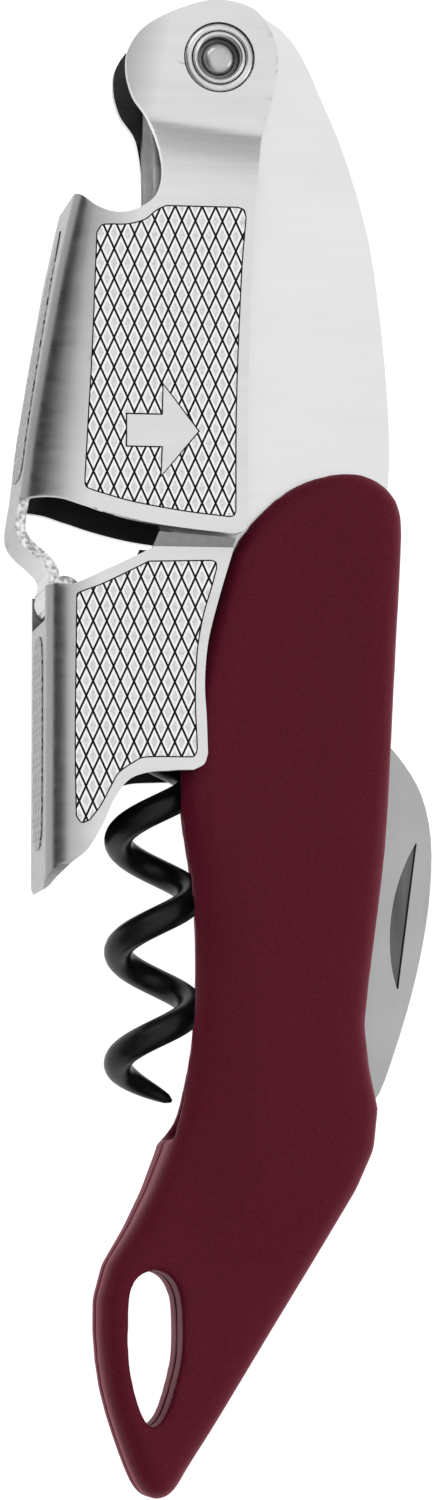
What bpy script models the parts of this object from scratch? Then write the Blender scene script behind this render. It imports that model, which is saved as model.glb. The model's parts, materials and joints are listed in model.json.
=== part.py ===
"""Double-lever waiter's corkscrew, closed, lying on its rear scale.

The head points to +Y, the levers and the worm are on the -X side and the knife is on the +X side.
Every hinge axis runs along Z. Sizes below are in millimetres; MM turns them into metres.
The design is drawn about its mid-plane, which lies HALF_THICKNESS above the ground.
"""
import math

import bmesh
import bpy
from mathutils import Matrix, Vector

MM = 0.001
OBJECT_NAME = "waiters_corkscrew"

# ---------------------------------------------------------------- driving dimensions (mm)
HALF_THICKNESS = 7.0        # levers and thickest part of the handle, from the mid-plane
CENTRE_SHIFT = (-0.297, -0.265)   # moves the drawing so that its box is centred on the origin

RIVET = (-0.5, 57.2)        # head rivet, axis of the upper lever
HINGE = (-13.3, 12.3)       # pin between the two levers
WORM_PIVOT = (-4.6, 12.9)
KNIFE_PIVOT = (8.5, -31.2)

SHEET = 0.9                 # lever sheet
LINER_IN, LINER_OUT = 2.65, 3.85    # faces of a frame plate, from the mid-plane
SIDE_PLAY = 0.1             # play beside a part that turns between the frame plates
THROUGH = 9.0               # half length of a cutter that passes right through the tool
TRIM = 0.01                 # keeps the faces of two joined or cut solids out of one plane
RUN_GAP = 0.08              # radial play of a running fit

SCALE_EDGE_ROUND = 2.0      # rounding of the handle's edge
SCALE_LOW = 5.9             # handle half thickness where the lower lever passes over it
SCALE_CLEAR_R = 16.5        # radius about HINGE that the lower lever sweeps
SCALE_SWELL = 15.0          # length over which the handle swells to its full thickness
SCALE_LEFT = (-3.5, 3.0)    # from its worm side the handle swells between these two x
TAIL_HALF = 3.9             # half thickness of the tail
TAIL_TAPER = (-47.0, -31.5)    # the handle thins down to the tail between these two y
POCKET_GAP = 0.3            # play between a frame plate and its pocket in the scale
POCKET_Z = 4.1
SEAM_Z = 0.15               # half the seam between the two scales
DOWEL_HALF = 5.0            # half length of the dowels that join the scales
DOWEL_END_GAP = 0.2

TUBE_R, TUBE_BORE = 2.2, 1.75
RIVET_R, BUTTON_R = 1.68, 1.45
EAR_OUT = 4.9               # outer face of the lever's ears
EAR_HOLE_R = 2.96
BUSH_GAP = 0.06             # radial gap between an ear and its bush
HEAD_PROUD = 0.05           # how far the tube and the bushes stand out of the ears
HEAD_SPACER_R = 4.2

JOGGLE_TOP, JOGGLE_LENGTH = 51.2, 4.8    # where the side plates step in to the ears
UPPER_FOLD_TOP, UPPER_FOLD_LENGTH = 44.0, 23.0
UPPER_FOLD = (2.0, 2.0)     # fold at the beak, across the tool and across its thickness
UPPER_FOLD_GROWTH = (2.8, 0.7)
LOWER_FOLD = (2.0, 2.0)

TONGUE_HALF_WIDTH = 4.3
TONGUE_HALF_THICKNESS = 0.42
KNUCKLE_R = 1.5
HINGE_PIN_R = 0.65
HINGE_PIN_HALF = 6.2
NOTCH_HALF_WIDTH = 4.6
LEDGE_Z, LEDGE_Y = 6.5, 16.05    # the lower lever's stop ledge, under the upper lever's edge
FOOT_TOP, FOOT_TIP = -9.2, -12.3    # the web's end is rounded between these two heights

WORM_AXIS_X = -5.2
WORM_WIRE_R = 1.17
WORM_RADIUS = 3.02
WORM_PITCH = 9.2
WORM_TOP, WORM_TIP = 8.6, -29.0
WORM_LEFT_Y = -7.4          # a height at which the helix reaches its left extreme
WORM_SLOT_HALF = 4.35
WORM_SLOT_RIGHT = -0.75
WORM_SLOT_END = -32.2
WORM_LEAD_TURNS = 0.55      # share of a turn in which the wire swings out from the shank
WORM_TIP_TURNS = 0.3        # share of a turn that is ground to the tip
WORM_TIP_SHARE = 0.12       # thickness left at the very tip
HUB_R, HUB_HALF = 2.9, 2.0
WORM_WASHER_R = 2.6

BLADE_HALF = 0.75
BLADE_SLOT_HALF = 1.1
KNIFE_SWEEP_R = 8.6
NICK_FLOOR = 0.4            # the nail nick is sunk to this height
KNIFE_WASHER_R = 2.3

SPRING_HALF = 1.6
TAIL_SPACER_HALF = 2.5
PIN_R = 1.0
PIN_HALF = 3.83             # half length of a pin that ends flush with the frame plates
SEGMENTS = 24


# ---------------------------------------------------------------- outlines (mm)
# Each outline is a list of runs. A run is a smooth curve through its points, and two runs meet at
# a corner.
EAR_AND_PLATE = [
    [(0.6, 17.2), (1.3, 17.55), (1.5, 18.5)],
    [(1.5, 18.5), (1.6, 30.0), (1.9, 40.0), (2.2, 45.0), (2.9, 50.0), (3.7, 53.0), (4.35, 56.0),
     (4.2, 58.6), (2.6, 61.2), (-0.4, 62.05), (-3.4, 61.4), (-6.5, 59.8), (-8.0, 57.9),
     (-8.25, 55.9), (-7.7, 53.8), (-6.5, 52.0), (-5.8, 49.7), (-5.5, 47.2), (-5.9, 45.4),
     (-7.0, 44.3), (-8.4, 43.7), (-9.8, 43.7), (-11.0, 44.3), (-12.0, 45.3), (-13.2, 45.6)],
    [(-13.2, 45.6), (-19.0, 45.6)],
    [(-19.0, 45.6), (-19.0, 20.0)],
    [(-19.0, 20.0), (-14.6, 20.1), (-12.2, 19.5), (-9.8, 18.75), (-6.6, 18.0), (-2.8, 17.5),
     (0.6, 17.2)],
]
TONGUE = [      # centre line of the bent tongue, from the spine of the upper lever to its knuckle
    (-16.44, 21.0), (-16.72, 19.4), (-16.9, 18.0), (-16.75, 17.1), (-16.15, 16.3), (-15.1, 15.4),
    (-14.3, 14.5), (-14.1, 13.6), (-14.35, 12.8),
]
LOWER_SIDE = [
    [(0.3, 15.7), (0.62, 16.9)],
    [(0.62, 16.9), (-5.7, 17.35)],
    [(-5.7, 17.35), (-6.3, 15.95)],
    [(-6.3, 15.95), (-8.4, 14.9), (-10.4, 13.95), (-12.6, 12.95), (-14.2, 12.9), (-17.0, 12.9)],
    [(-17.0, 12.9), (-17.0, -12.0)],
    [(-17.0, -12.0), (-14.9, -11.95), (-13.9, -10.9), (-12.9, -9.9), (-11.6, -8.8), (-10.4, -6.8),
     (-9.4, -4.6), (-8.2, -3.1), (-6.6, -2.45), (-4.6, -2.3), (-2.9, -2.25)],
    [(-2.9, -2.25), (-2.05, -1.75), (-1.75, -0.9)],
    [(-1.75, -0.9), (-1.85, 2.0), (-2.0, 5.0), (-1.7, 8.4), (-0.8, 12.0), (0.3, 15.7)],
]
HANDLE = [
    [(0.5, 16.1), (1.3, 17.4), (2.7, 19.1), (4.6, 20.8), (6.8, 22.0), (9.3, 22.6), (11.3, 22.55),
     (13.0, 21.8), (14.2, 20.5), (14.7, 18.8), (14.6, 14.5), (14.2, 7.6), (13.9, 2.3),
     (13.6, -3.5), (13.2, -9.0), (12.5, -14.6), (11.9, -19.2), (11.5, -22.6), (11.8, -26.0),
     (12.5, -28.9), (12.6, -31.4), (11.8, -34.6), (10.0, -38.0), (7.0, -43.3), (3.3, -49.4),
     (-0.7, -55.9), (-2.6, -58.8), (-3.9, -60.9), (-5.2, -61.55), (-6.4, -61.0), (-7.3, -59.5),
     (-8.6, -56.0), (-9.6, -52.5), (-10.1, -48.5), (-10.1, -45.2), (-9.6, -43.0), (-8.4, -41.0),
     (-6.7, -38.0), (-5.3, -34.8), (-4.1, -31.5)],
    [(-4.1, -31.5), (-3.6, -28.6), (-3.1, -25.6), (-2.75, -22.4), (-2.6, -18.0), (-2.75, -13.2),
     (-3.3, -9.0), (-3.9, -5.2), (-4.0, -2.4)],
    [(-4.0, -2.4), (-2.7, 4.0), (-1.1, 10.6), (0.5, 16.1)],
]
REAR_RELIEF = [     # the rear scale is cut back here, so that a thumb can push the worm out
    [(-4.6, -32.6), (-2.9, -30.8), (-2.1, -28.0), (-1.5, -25.0), (-1.2, -22.0), (-1.05, -18.0),
     (-1.2, -13.2), (-1.75, -9.0), (-2.35, -5.2), (-2.4, -2.4), (-2.0, 1.0), (-3.6, 3.0)],
    [(-3.6, 3.0), (-16.0, 3.0)],
    [(-16.0, 3.0), (-16.0, -32.6)],
    [(-16.0, -32.6), (-4.6, -32.6)],
]
HANGING_SLOT = [
    [(-5.7, -42.9), (-4.4, -43.4), (-3.55, -45.0), (-3.35, -47.6), (-3.45, -50.2), (-4.1, -52.9),
     (-4.8, -54.8), (-5.7, -55.7), (-6.5, -55.0), (-7.25, -52.9), (-7.75, -50.2), (-7.8, -47.6),
     (-7.7, -45.0), (-7.0, -43.4), (-5.7, -42.9)],
]
LINER_RIGHT = [
    (-0.5, 61.7), (2.3, 61.3), (4.9, 59.8), (6.6, 57.6), (8.0, 54.5), (9.7, 50.6), (11.1, 46.4),
    (12.2, 42.2), (12.9, 37.6), (13.5, 32.0), (13.85, 26.6), (13.8, 22.0), (13.2, 18.0),
    (12.8, 8.0), (12.3, -4.0), (11.2, -13.5), (10.3, -20.5), (10.4, -25.5), (11.0, -29.0),
    (10.9, -32.0), (9.6, -34.6), (7.0, -36.3),
]
LINER_BOTTOM = [(7.0, -36.3), (-1.6, -36.9)]
LINER_HEEL = [(-1.6, -36.9), (-2.6, -34.4), (-2.3, -31.6), (-0.6, -31.0)]
LINER_SLOT = [(-0.6, -31.0), (-0.6, 9.0)]
LINER_LEFT = [
    (-4.2, 17.4), (-5.2, 24.0), (-5.7, 36.0), (-5.9, 46.0), (-5.9, 54.0), (-5.6, 58.0),
    (-3.6, 60.9), (-0.5, 61.7),
]
LOBE_R = 3.4                # rounded lobe of the frame plates about the worm's pivot
BLADE = [
    [(12.3, -29.6), (13.5, -28.3), (14.9, -24.5), (16.2, -20.2), (17.2, -15.8), (17.8, -11.4),
     (17.85, -7.2), (17.1, -3.7), (15.7, -1.2), (14.0, 0.8), (12.6, 1.9)],
    [(12.6, 1.9), (11.9, -3.0), (11.3, -9.0), (10.4, -15.0), (10.0, -20.0), (9.6, -24.6)],
    [(9.6, -24.6), (8.2, -27.6)],
]
TANG_R = 3.1
NAIL_NICK = [
    [(16.6, -7.6), (15.6, -9.6), (14.8, -12.0), (14.4, -14.8), (14.5, -17.6), (15.0, -19.8)],
    [(15.0, -19.8), (16.6, -7.6)],
]
BACK_SPRING = [
    [(2.2, 19.0), (5.4, 19.0)],
    [(5.4, 19.0), (5.6, -5.0), (5.4, -20.0), (5.25, -32.6)],
    [(5.25, -32.6), (3.7, -32.6)],
    [(3.7, -32.6), (2.7, -20.0), (1.7, -5.0), (2.2, 19.0)],
]
TAIL_SPACER = [
    [(-1.5, -36.2), (4.0, -36.0)],
    [(4.0, -36.0), (4.4, -34.0)],
    [(4.4, -34.0), (-1.6, -33.0)],
    [(-1.6, -33.0), (-1.5, -36.2)],
]
SPRING_PINS = {"spring_pin_upper": (3.8, 15.0), "spring_pin_lower": (3.6, -6.0)}
FRAME_PINS = {
    "frame_pin_upper": (10.0, 16.5),
    "frame_pin_middle": (8.2, -9.0),
    "frame_pin_lower": (0.6, -34.7),
}

# Spine of each lever: (height, outer face of the web).
UPPER_SPINE = [(63.0, -10.0), (46.0, -12.5), (43.9, -13.0), (39.3, -14.0), (35.7, -14.65),
               (31.4, -15.4), (25.8, -16.3), (21.7, -16.8), (19.0, -17.1)]
LOWER_SPINE = [(19.0, -14.9), (-13.0, -14.9)]


# ---------------------------------------------------------------- scene helpers
def clear_scene():
    for obj in list(bpy.data.objects):
        bpy.data.objects.remove(obj, do_unlink=True)


def new_collection(name):
    collection = bpy.data.collections.new(name)
    bpy.context.scene.collection.children.link(collection)
    return collection


clear_scene()
PARTS = new_collection(OBJECT_NAME)
CUTTERS = new_collection("cutters")


def material(name, colour, roughness, metallic):
    made = bpy.data.materials.new(name)
    made.use_nodes = True
    shader = made.node_tree.nodes["Principled BSDF"]
    shader.inputs["Base Color"].default_value = (*colour, 1.0)
    shader.inputs["Roughness"].default_value = roughness
    shader.inputs["Metallic"].default_value = metallic
    return made


BRUSHED = (0.78, 0.78, 0.79)


def move_to(obj, collection):
    for old in list(obj.users_collection):
        old.objects.unlink(obj)
    collection.objects.link(obj)


def mark_cutter(obj):
    obj.hide_render = True
    obj.display_type = "WIRE"
    move_to(obj, CUTTERS)
    return obj


def boolean(obj, cutter, operation="DIFFERENCE"):
    modifier = obj.modifiers.new(operation.lower(), "BOOLEAN")
    modifier.operation = operation
    modifier.solver = "EXACT"
    modifier.object = mark_cutter(cutter)


def finish(obj, surface):
    """Put a finished piece in the parts collection, with its material and smooth shading."""
    move_to(obj, PARTS)
    obj.data.materials.clear()
    obj.data.materials.append(surface)
    obj.data.shade_smooth()
    obj.data.set_sharp_from_angle(angle=math.radians(35))
    return obj


def place(x, y, z=0.0):
    """A point of the drawing, in metres in the world."""
    return Vector((x + CENTRE_SHIFT[0], y + CENTRE_SHIFT[1], z + HALF_THICKNESS)) * MM


def joint_empty(name, point):
    empty = bpy.data.objects.new(name, None)
    empty.empty_display_size = 5 * MM
    empty.location = place(*point)
    PARTS.objects.link(empty)
    return empty


def hang_on(parent, *children):
    """Parent pieces to a joint's empty and keep them where they are."""
    for child in children:
        child.parent = parent
        child.matrix_parent_inverse = Matrix.Translation(parent.location).inverted()


# ---------------------------------------------------------------- drawing helpers
def spline(points, steps=4):
    """Smooth curve through points, both ends included."""
    if len(points) == 2:
        return [Vector(p) for p in points]
    knots = [Vector(p) for p in points]
    knots = [2 * knots[0] - knots[1]] + knots + [2 * knots[-1] - knots[-2]]
    curve = []
    for a, b, c, d in zip(knots, knots[1:], knots[2:], knots[3:]):
        for step in range(steps):
            t = step / steps
            curve.append(0.5 * (2 * b + (c - a) * t + (2 * a - 5 * b + 4 * c - d) * t * t
                                + (3 * b - a - 3 * c + d) * t ** 3))
    return curve + [knots[-2]]


def outline(runs, steps=3):
    """Closed outline from runs that meet at corners; its last point isn't repeated."""
    points = []
    for run in runs:
        points += spline(run, steps)[:-1]
    return points


def arc(centre, radius, start, end, steps=16):
    """Points on an arc; angles in degrees, end included."""
    found = []
    for step in range(steps + 1):
        angle = math.radians(start + (end - start) * step / steps)
        found.append(Vector((centre[0] + radius * math.cos(angle),
                             centre[1] + radius * math.sin(angle))))
    return found


def area(points):
    return 0.5 * sum(a.x * b.y - b.x * a.y for a, b in zip(points, points[1:] + points[:1]))


def grown(points, distance):
    """The outline moved outward by distance."""
    if area(points) < 0:
        points = points[::-1]
    moved = []
    for before, here, after in zip(points[-1:] + points[:-1], points, points[1:] + points[:1]):
        along = (after - before).normalized()
        moved.append(here + Vector((along.y, -along.x)) * distance)
    return moved


def prism(name, points, low, high, holes=()):
    """Flat plate between two heights over an outline, with round or free holes."""
    curve = bpy.data.curves.new(name, "CURVE")
    curve.dimensions = "2D"
    curve.fill_mode = "BOTH"
    curve.extrude = (high - low) / 2 * MM
    for loop in [points, *holes]:
        path = curve.splines.new("POLY")
        path.points.add(len(loop) - 1)
        for knot, point in zip(path.points, loop):
            knot.co = (point[0] * MM, point[1] * MM, 0, 1)
        path.use_cyclic_u = True
    flat = bpy.data.objects.new(name + "_curve", curve)
    flat.location = place(0, 0, (low + high) / 2)
    PARTS.objects.link(flat)
    return curve_to_mesh(flat, name)


def curve_to_mesh(flat, name):
    bpy.context.view_layer.update()
    evaluated = flat.evaluated_get(bpy.context.evaluated_depsgraph_get())
    mesh = bpy.data.meshes.new_from_object(evaluated)
    work = bmesh.new()
    work.from_mesh(mesh)
    bmesh.ops.remove_doubles(work, verts=work.verts, dist=1e-7)
    work.to_mesh(mesh)
    work.free()
    obj = bpy.data.objects.new(name, mesh)
    obj.matrix_world = flat.matrix_world
    PARTS.objects.link(obj)
    bpy.data.objects.remove(flat, do_unlink=True)
    return obj


def circle(centre, radius, steps=SEGMENTS):
    return arc(centre, radius, 0, 360, steps)[:-1]


def cylinder(name, centre, radius, low, high):
    bpy.ops.mesh.primitive_cylinder_add(
        vertices=SEGMENTS, radius=radius * MM, depth=(high - low) * MM,
        location=place(*centre, (low + high) / 2))
    obj = bpy.context.active_object
    obj.name = name
    return obj


def box(name, low, high):
    size = Vector(high) - Vector(low)
    middle = (Vector(high) + Vector(low)) / 2
    bpy.ops.mesh.primitive_cube_add(size=1, location=place(*middle))
    obj = bpy.context.active_object
    obj.name = name
    obj.data.transform(Matrix.Diagonal((*(size * MM), 1)))
    return obj


def turned(name, centre, profile, closed):
    """Piece turned about an axis along Z; the profile runs (radius, height) down its outer side."""
    mesh = bpy.data.meshes.new(name)
    work = bmesh.new()
    knots = [work.verts.new((r * MM, 0, z * MM)) for r, z in profile]
    for a, b in zip(knots, knots[1:]):
        work.edges.new((a, b))
    if closed:
        work.edges.new((knots[-1], knots[0]))
    work.to_mesh(mesh)
    work.free()
    obj = bpy.data.objects.new(name, mesh)
    obj.location = place(*centre)
    PARTS.objects.link(obj)
    screw = obj.modifiers.new("turn", "SCREW")
    screw.axis = "Z"
    screw.steps = SEGMENTS
    screw.render_steps = SEGMENTS
    screw.use_merge_vertices = True
    screw.merge_threshold = 1e-6
    return obj


def ring(name, centre, inner, outer, low, high, surface):
    return finish(turned(name, centre, [(outer, high), (outer, low), (inner, low), (inner, high)],
                         True), surface)


def pin(name, centre, radius, half, surface):
    """Plain pin, symmetric about the mid-plane."""
    profile = [(0, half), (radius, half), (radius, -half), (0, -half)]
    return finish(turned(name, centre, profile, False), surface)


def at_height(table, y):
    """Straight-line value from a table of (height, value), highest first."""
    for (y1, v1), (y0, v0) in zip(table, table[1:]):
        if y >= y0:
            return v0 + (v1 - v0) * min(1.0, (y - y0) / (y1 - y0))
    return table[-1][1]


def ease(t):
    t = min(1.0, max(0.0, t))
    return t * t * (3 - 2 * t)


# ---------------------------------------------------------------- levers
def folded_channel(name, heights, spine, half_at, fold_at, right):
    """U-shaped sheet: a web along the spine, two folds and two side plates."""
    fold_steps = 5
    rows = []
    for y in heights:
        web = at_height(spine, y)
        half = half_at(y)
        fold_x, fold_z = fold_at(y)
        side = [(web, 0.45 * (half - fold_z))]
        for step in range(fold_steps + 1):
            t = math.pi / 2 * step / fold_steps
            side.append((web + fold_x * (1 - math.cos(t)), half - fold_z * (1 - math.sin(t))))
        side += [(-6.0, half), (right, half)]
        rows.append([(x, y, -z) for x, z in reversed(side)] + [(x, y, z) for x, z in side])
    work = bmesh.new()
    grid = [[work.verts.new(place(*point)) for point in row] for row in rows]
    for upper, lower in zip(grid, grid[1:]):
        for a, b, c, d in zip(upper, upper[1:], lower[1:], lower):
            work.faces.new((d, c, b, a))
    mesh = bpy.data.meshes.new(name)
    work.to_mesh(mesh)
    work.free()
    obj = bpy.data.objects.new(name, mesh)
    PARTS.objects.link(obj)
    sheet = obj.modifiers.new("sheet", "SOLIDIFY")
    sheet.thickness = SHEET * MM
    sheet.offset = -1
    sheet.use_even_offset = True
    return obj


def upper_half_width(y):
    """Side plates run at full width, then step in to the ears above the notch."""
    return EAR_OUT + (HALF_THICKNESS - EAR_OUT) * ease((JOGGLE_TOP - y) / JOGGLE_LENGTH)


def upper_fold(y):
    """The fold is tight at the beak and opens out towards the tongue."""
    share = min(1.0, max(0.0, (UPPER_FOLD_TOP - y) / UPPER_FOLD_LENGTH))
    return tuple(start + growth * share for start, growth in zip(UPPER_FOLD, UPPER_FOLD_GROWTH))


def tongue_strip():
    line = spline(TONGUE, 4)
    sides = ([], [])
    for before, here, after in zip(line[:1] + line[:-1], line, line[1:] + line[-1:]):
        along = (after - before).normalized()
        across = Vector((along.y, -along.x)) * TONGUE_HALF_THICKNESS
        sides[0].append(here + across)
        sides[1].append(here - across)
    return sides[0] + sides[1][::-1]


def build_upper_lever(steel):
    joggle_steps = 8
    heights = [63.0, 57.0]
    heights += [JOGGLE_TOP - JOGGLE_LENGTH * k / joggle_steps for k in range(joggle_steps + 1)]
    heights += [45.0, 42.0, 38.0, 34.0, 30.0, 26.0, 22.0, 19.0, 16.5]
    lever = folded_channel("upper_lever", heights, UPPER_SPINE, upper_half_width, upper_fold, 6.0)
    side = prism("upper_lever_side", outline(EAR_AND_PLATE), -THROUGH, THROUGH)
    boolean(lever, side, "INTERSECT")
    tongue = prism("tongue_strip", tongue_strip(), -TONGUE_HALF_WIDTH, TONGUE_HALF_WIDTH)
    boolean(lever, tongue, "UNION")
    knuckle = cylinder("knuckle_barrel", HINGE, KNUCKLE_R, TRIM - TONGUE_HALF_WIDTH,
                       TONGUE_HALF_WIDTH - TRIM)
    boolean(lever, knuckle, "UNION")
    boolean(lever, cylinder("ear_bore", RIVET, EAR_HOLE_R, -THROUGH, THROUGH))
    boolean(lever, cylinder("knuckle_bore", HINGE, HINGE_PIN_R + RUN_GAP, -THROUGH, THROUGH))
    return finish(lever, steel)


def foot_corner(sign):
    """Cutter that rounds one corner of the lower lever's foot, seen along X."""
    wide = HALF_THICKNESS + 1.0
    steps = 6
    low = place(-18.0, FOOT_TIP - 1.0)
    high = place(-9.0, 0)
    rim = [(wide, FOOT_TOP), (wide, FOOT_TIP - 1.0), (0.0, FOOT_TIP - 1.0)]
    for step in range(steps + 1):
        angle = math.pi / 2 * step / steps
        rim.append((wide * math.sin(angle), FOOT_TOP + (FOOT_TIP - FOOT_TOP) * math.cos(angle)))
    rim = rim[:-1]
    work = bmesh.new()
    near = [work.verts.new((low.x, place(0, y).y, place(0, 0, sign * z).z)) for z, y in rim]
    face = work.faces.new(near)
    moved = bmesh.ops.extrude_face_region(work, geom=[face])["geom"]
    verts = [item for item in moved if isinstance(item, bmesh.types.BMVert)]
    bmesh.ops.translate(work, verts=verts, vec=(high.x - low.x, 0, 0))
    bmesh.ops.recalc_face_normals(work, faces=work.faces)
    mesh = bpy.data.meshes.new("foot_corner")
    work.to_mesh(mesh)
    work.free()
    obj = bpy.data.objects.new("foot_corner", mesh)
    PARTS.objects.link(obj)
    return obj


def build_lower_lever(steel):
    heights = [19.0, 13.0, 8.0, 2.0, -4.0, -9.0, -13.0]
    lever = folded_channel("lower_lever", heights, LOWER_SPINE, lambda y: HALF_THICKNESS,
                           lambda y: LOWER_FOLD, 3.0)
    boolean(lever, prism("lower_lever_side", outline(LOWER_SIDE), -THROUGH, THROUGH), "INTERSECT")
    boolean(lever, box("knuckle_notch", (-18, 10.1, -NOTCH_HALF_WIDTH), (-12, 15, NOTCH_HALF_WIDTH)))
    for sign in (-1, 1):
        low, high = sorted((sign * LEDGE_Z, sign * THROUGH))
        boolean(lever, box("stop_ledge", (-6.6, LEDGE_Y, low), (3, 19, high)))
        boolean(lever, foot_corner(sign))
    bore_half = HINGE_PIN_HALF + SIDE_PLAY
    boolean(lever, cylinder("hinge_bore", HINGE, HINGE_PIN_R + RUN_GAP, -bore_half, bore_half))
    return finish(lever, steel)


# ---------------------------------------------------------------- frame
def liner_outline():
    lobe = arc(WORM_PIVOT, LOBE_R, -62, -262, 12)
    points = outline([LINER_RIGHT, LINER_BOTTOM, LINER_HEEL, LINER_SLOT], 2)
    points.append(Vector(LINER_SLOT[-1]))
    return points + lobe + spline(LINER_LEFT, 2)[:-1]


def build_liner(name, sign, steel):
    holes = [circle(RIVET, TUBE_R + RUN_GAP), circle(WORM_PIVOT, PIN_R + RUN_GAP),
             circle(KNIFE_PIVOT, PIN_R + RUN_GAP)]
    for centre in [*SPRING_PINS.values(), *FRAME_PINS.values()]:
        holes.append(circle(centre, PIN_R + RUN_GAP))
    low, high = sorted((sign * LINER_IN, sign * LINER_OUT))
    return finish(prism(name, liner_outline(), low, high, holes), steel)


def distance_to(points, x, y):
    """Distance from a point to a closed outline."""
    here = Vector((x, y))
    best = 1e9
    for a, b in zip(points, points[1:] + points[:1]):
        along = b - a
        t = max(0.0, min(1.0, (here - a).dot(along) / along.length_squared))
        best = min(best, (here - a - along * t).length)
    return best


def scale_height(points, x, y):
    """Half thickness of the handle: low at the levers and worm, thin at the tail, rounded edge."""
    from_hinge = math.hypot(x - HINGE[0], y - HINGE[1])
    swell = min(ease((from_hinge - SCALE_CLEAR_R) / SCALE_SWELL),
                ease((x - SCALE_LEFT[0]) / (SCALE_LEFT[1] - SCALE_LEFT[0])))
    full = SCALE_LOW + (HALF_THICKNESS - SCALE_LOW) * swell
    full = TAIL_HALF + (full - TAIL_HALF) * ease((y - TAIL_TAPER[0]) / (TAIL_TAPER[1] - TAIL_TAPER[0]))
    inset = min(1.0, distance_to(points, x, y) / SCALE_EDGE_ROUND)
    return full - SCALE_EDGE_ROUND * (1 - math.sqrt(1 - (1 - inset) ** 2))


def crossings(points, y):
    """Left and right edge of an outline at height y."""
    found = []
    for a, b in zip(points, points[1:] + points[:1]):
        if (a.y > y) != (b.y > y):
            found.append(a.x + (b.x - a.x) * (y - a.y) / (b.y - a.y))
    return min(found), max(found)


def scale_blank(name):
    """The front handle half before it is cut: rounded outer face, flat seam face."""
    points = outline(HANDLE)
    top, bottom = max(p.y for p in points), min(p.y for p in points)
    rows, columns = 38, 12
    end_inset = 0.03
    work = bmesh.new()
    grid = []
    for row in range(rows + 1):
        share = (1 - math.cos(math.pi * row / rows)) / 2
        y = bottom + end_inset + (top - bottom - 2 * end_inset) * share
        left, right = crossings(points, y)
        line = []
        for column in range(columns + 1):
            x = left + (right - left) * (1 - math.cos(math.pi * column / columns)) / 2
            line.append(work.verts.new(place(x, y, scale_height(points, x, y))))
        grid.append(line)
    for lower, upper in zip(grid, grid[1:]):
        for a, b, c, d in zip(lower, lower[1:], upper[1:], upper):
            work.faces.new((a, b, c, d))
    rim = [*grid[0], *[line[-1] for line in grid[1:]], *grid[-1][-2::-1],
           *[line[0] for line in grid[-2:0:-1]]]
    seam = [work.verts.new((v.co.x, v.co.y, place(0, 0, SEAM_Z).z)) for v in rim]
    for a, b, c, d in zip(rim, rim[1:] + rim[:1], seam[1:] + seam[:1], seam):
        work.faces.new((b, a, d, c))
    work.faces.new(seam[::-1])
    bmesh.ops.recalc_face_normals(work, faces=work.faces)
    mesh = bpy.data.meshes.new(name)
    work.to_mesh(mesh)
    work.free()
    obj = bpy.data.objects.new(name, mesh)
    PARTS.objects.link(obj)
    return obj


def build_front_scale(plastic):
    scale = scale_blank("front_scale")
    boolean(scale, prism("hanging_slot", outline(HANGING_SLOT, 2), -THROUGH, THROUGH))
    boolean(scale, prism("liner_pocket", grown(liner_outline(), POCKET_GAP), -POCKET_Z, POCKET_Z))
    boolean(scale, box("worm_channel", (-16, WORM_SLOT_END, -WORM_SLOT_HALF),
                       (WORM_SLOT_RIGHT, 17.5, WORM_SLOT_HALF)))
    boolean(scale, box("knife_slot", (6, -33, -BLADE_SLOT_HALF), (20, 3.2, BLADE_SLOT_HALF)))
    boolean(scale, cylinder("knife_sweep", KNIFE_PIVOT, KNIFE_SWEEP_R, TRIM - BLADE_SLOT_HALF,
                            BLADE_SLOT_HALF - TRIM))
    hole_half = DOWEL_HALF + DOWEL_END_GAP
    for centre in FRAME_PINS.values():
        boolean(scale, cylinder("dowel_hole", centre, PIN_R + RUN_GAP, -hole_half, hole_half))
    return finish(scale, plastic)


def build_rear_scale(front, plastic):
    """The rear half is the front one mirrored in the mid-plane, with the thumb relief cut."""
    bpy.context.view_layer.update()
    evaluated = front.evaluated_get(bpy.context.evaluated_depsgraph_get())
    mesh = bpy.data.meshes.new_from_object(evaluated)
    mesh.transform(Matrix.Translation((0, 0, 2 * HALF_THICKNESS * MM)) @ Matrix.Diagonal((1, 1, -1, 1)))
    mesh.flip_normals()
    scale = bpy.data.objects.new("rear_scale", mesh)
    PARTS.objects.link(scale)
    boolean(scale, prism("thumb_relief", outline(REAR_RELIEF, 2), -THROUGH, -POCKET_Z))
    return finish(scale, plastic)


# ---------------------------------------------------------------- head
def build_head(steel, dark):
    end = EAR_OUT + HEAD_PROUD
    ring("head_tube", RIVET, TUBE_BORE, TUBE_R, -end, end, steel)
    profile = [(0, 4.72), (0.5, 4.74), (1.1, 4.8), (BUTTON_R - 0.1, 4.7), (BUTTON_R, 4.5),
               (BUTTON_R, 4.1), (RIVET_R, 4.0)]
    profile += [(r, -z) for r, z in reversed(profile)]
    finish(turned("head_rivet", RIVET, profile, False), steel)
    spacer_half = LINER_IN - SIDE_PLAY
    ring("head_spacer", RIVET, TUBE_R + RUN_GAP, HEAD_SPACER_R, -spacer_half, spacer_half, dark)
    inner, outer, low = TUBE_R + RUN_GAP, EAR_HOLE_R - BUSH_GAP, EAR_OUT - SHEET
    front = ring("ear_bush_front", RIVET, inner, outer, low, end, dark)
    rear = ring("ear_bush_rear", RIVET, inner, outer, -end, -low, dark)
    return front, rear


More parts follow.
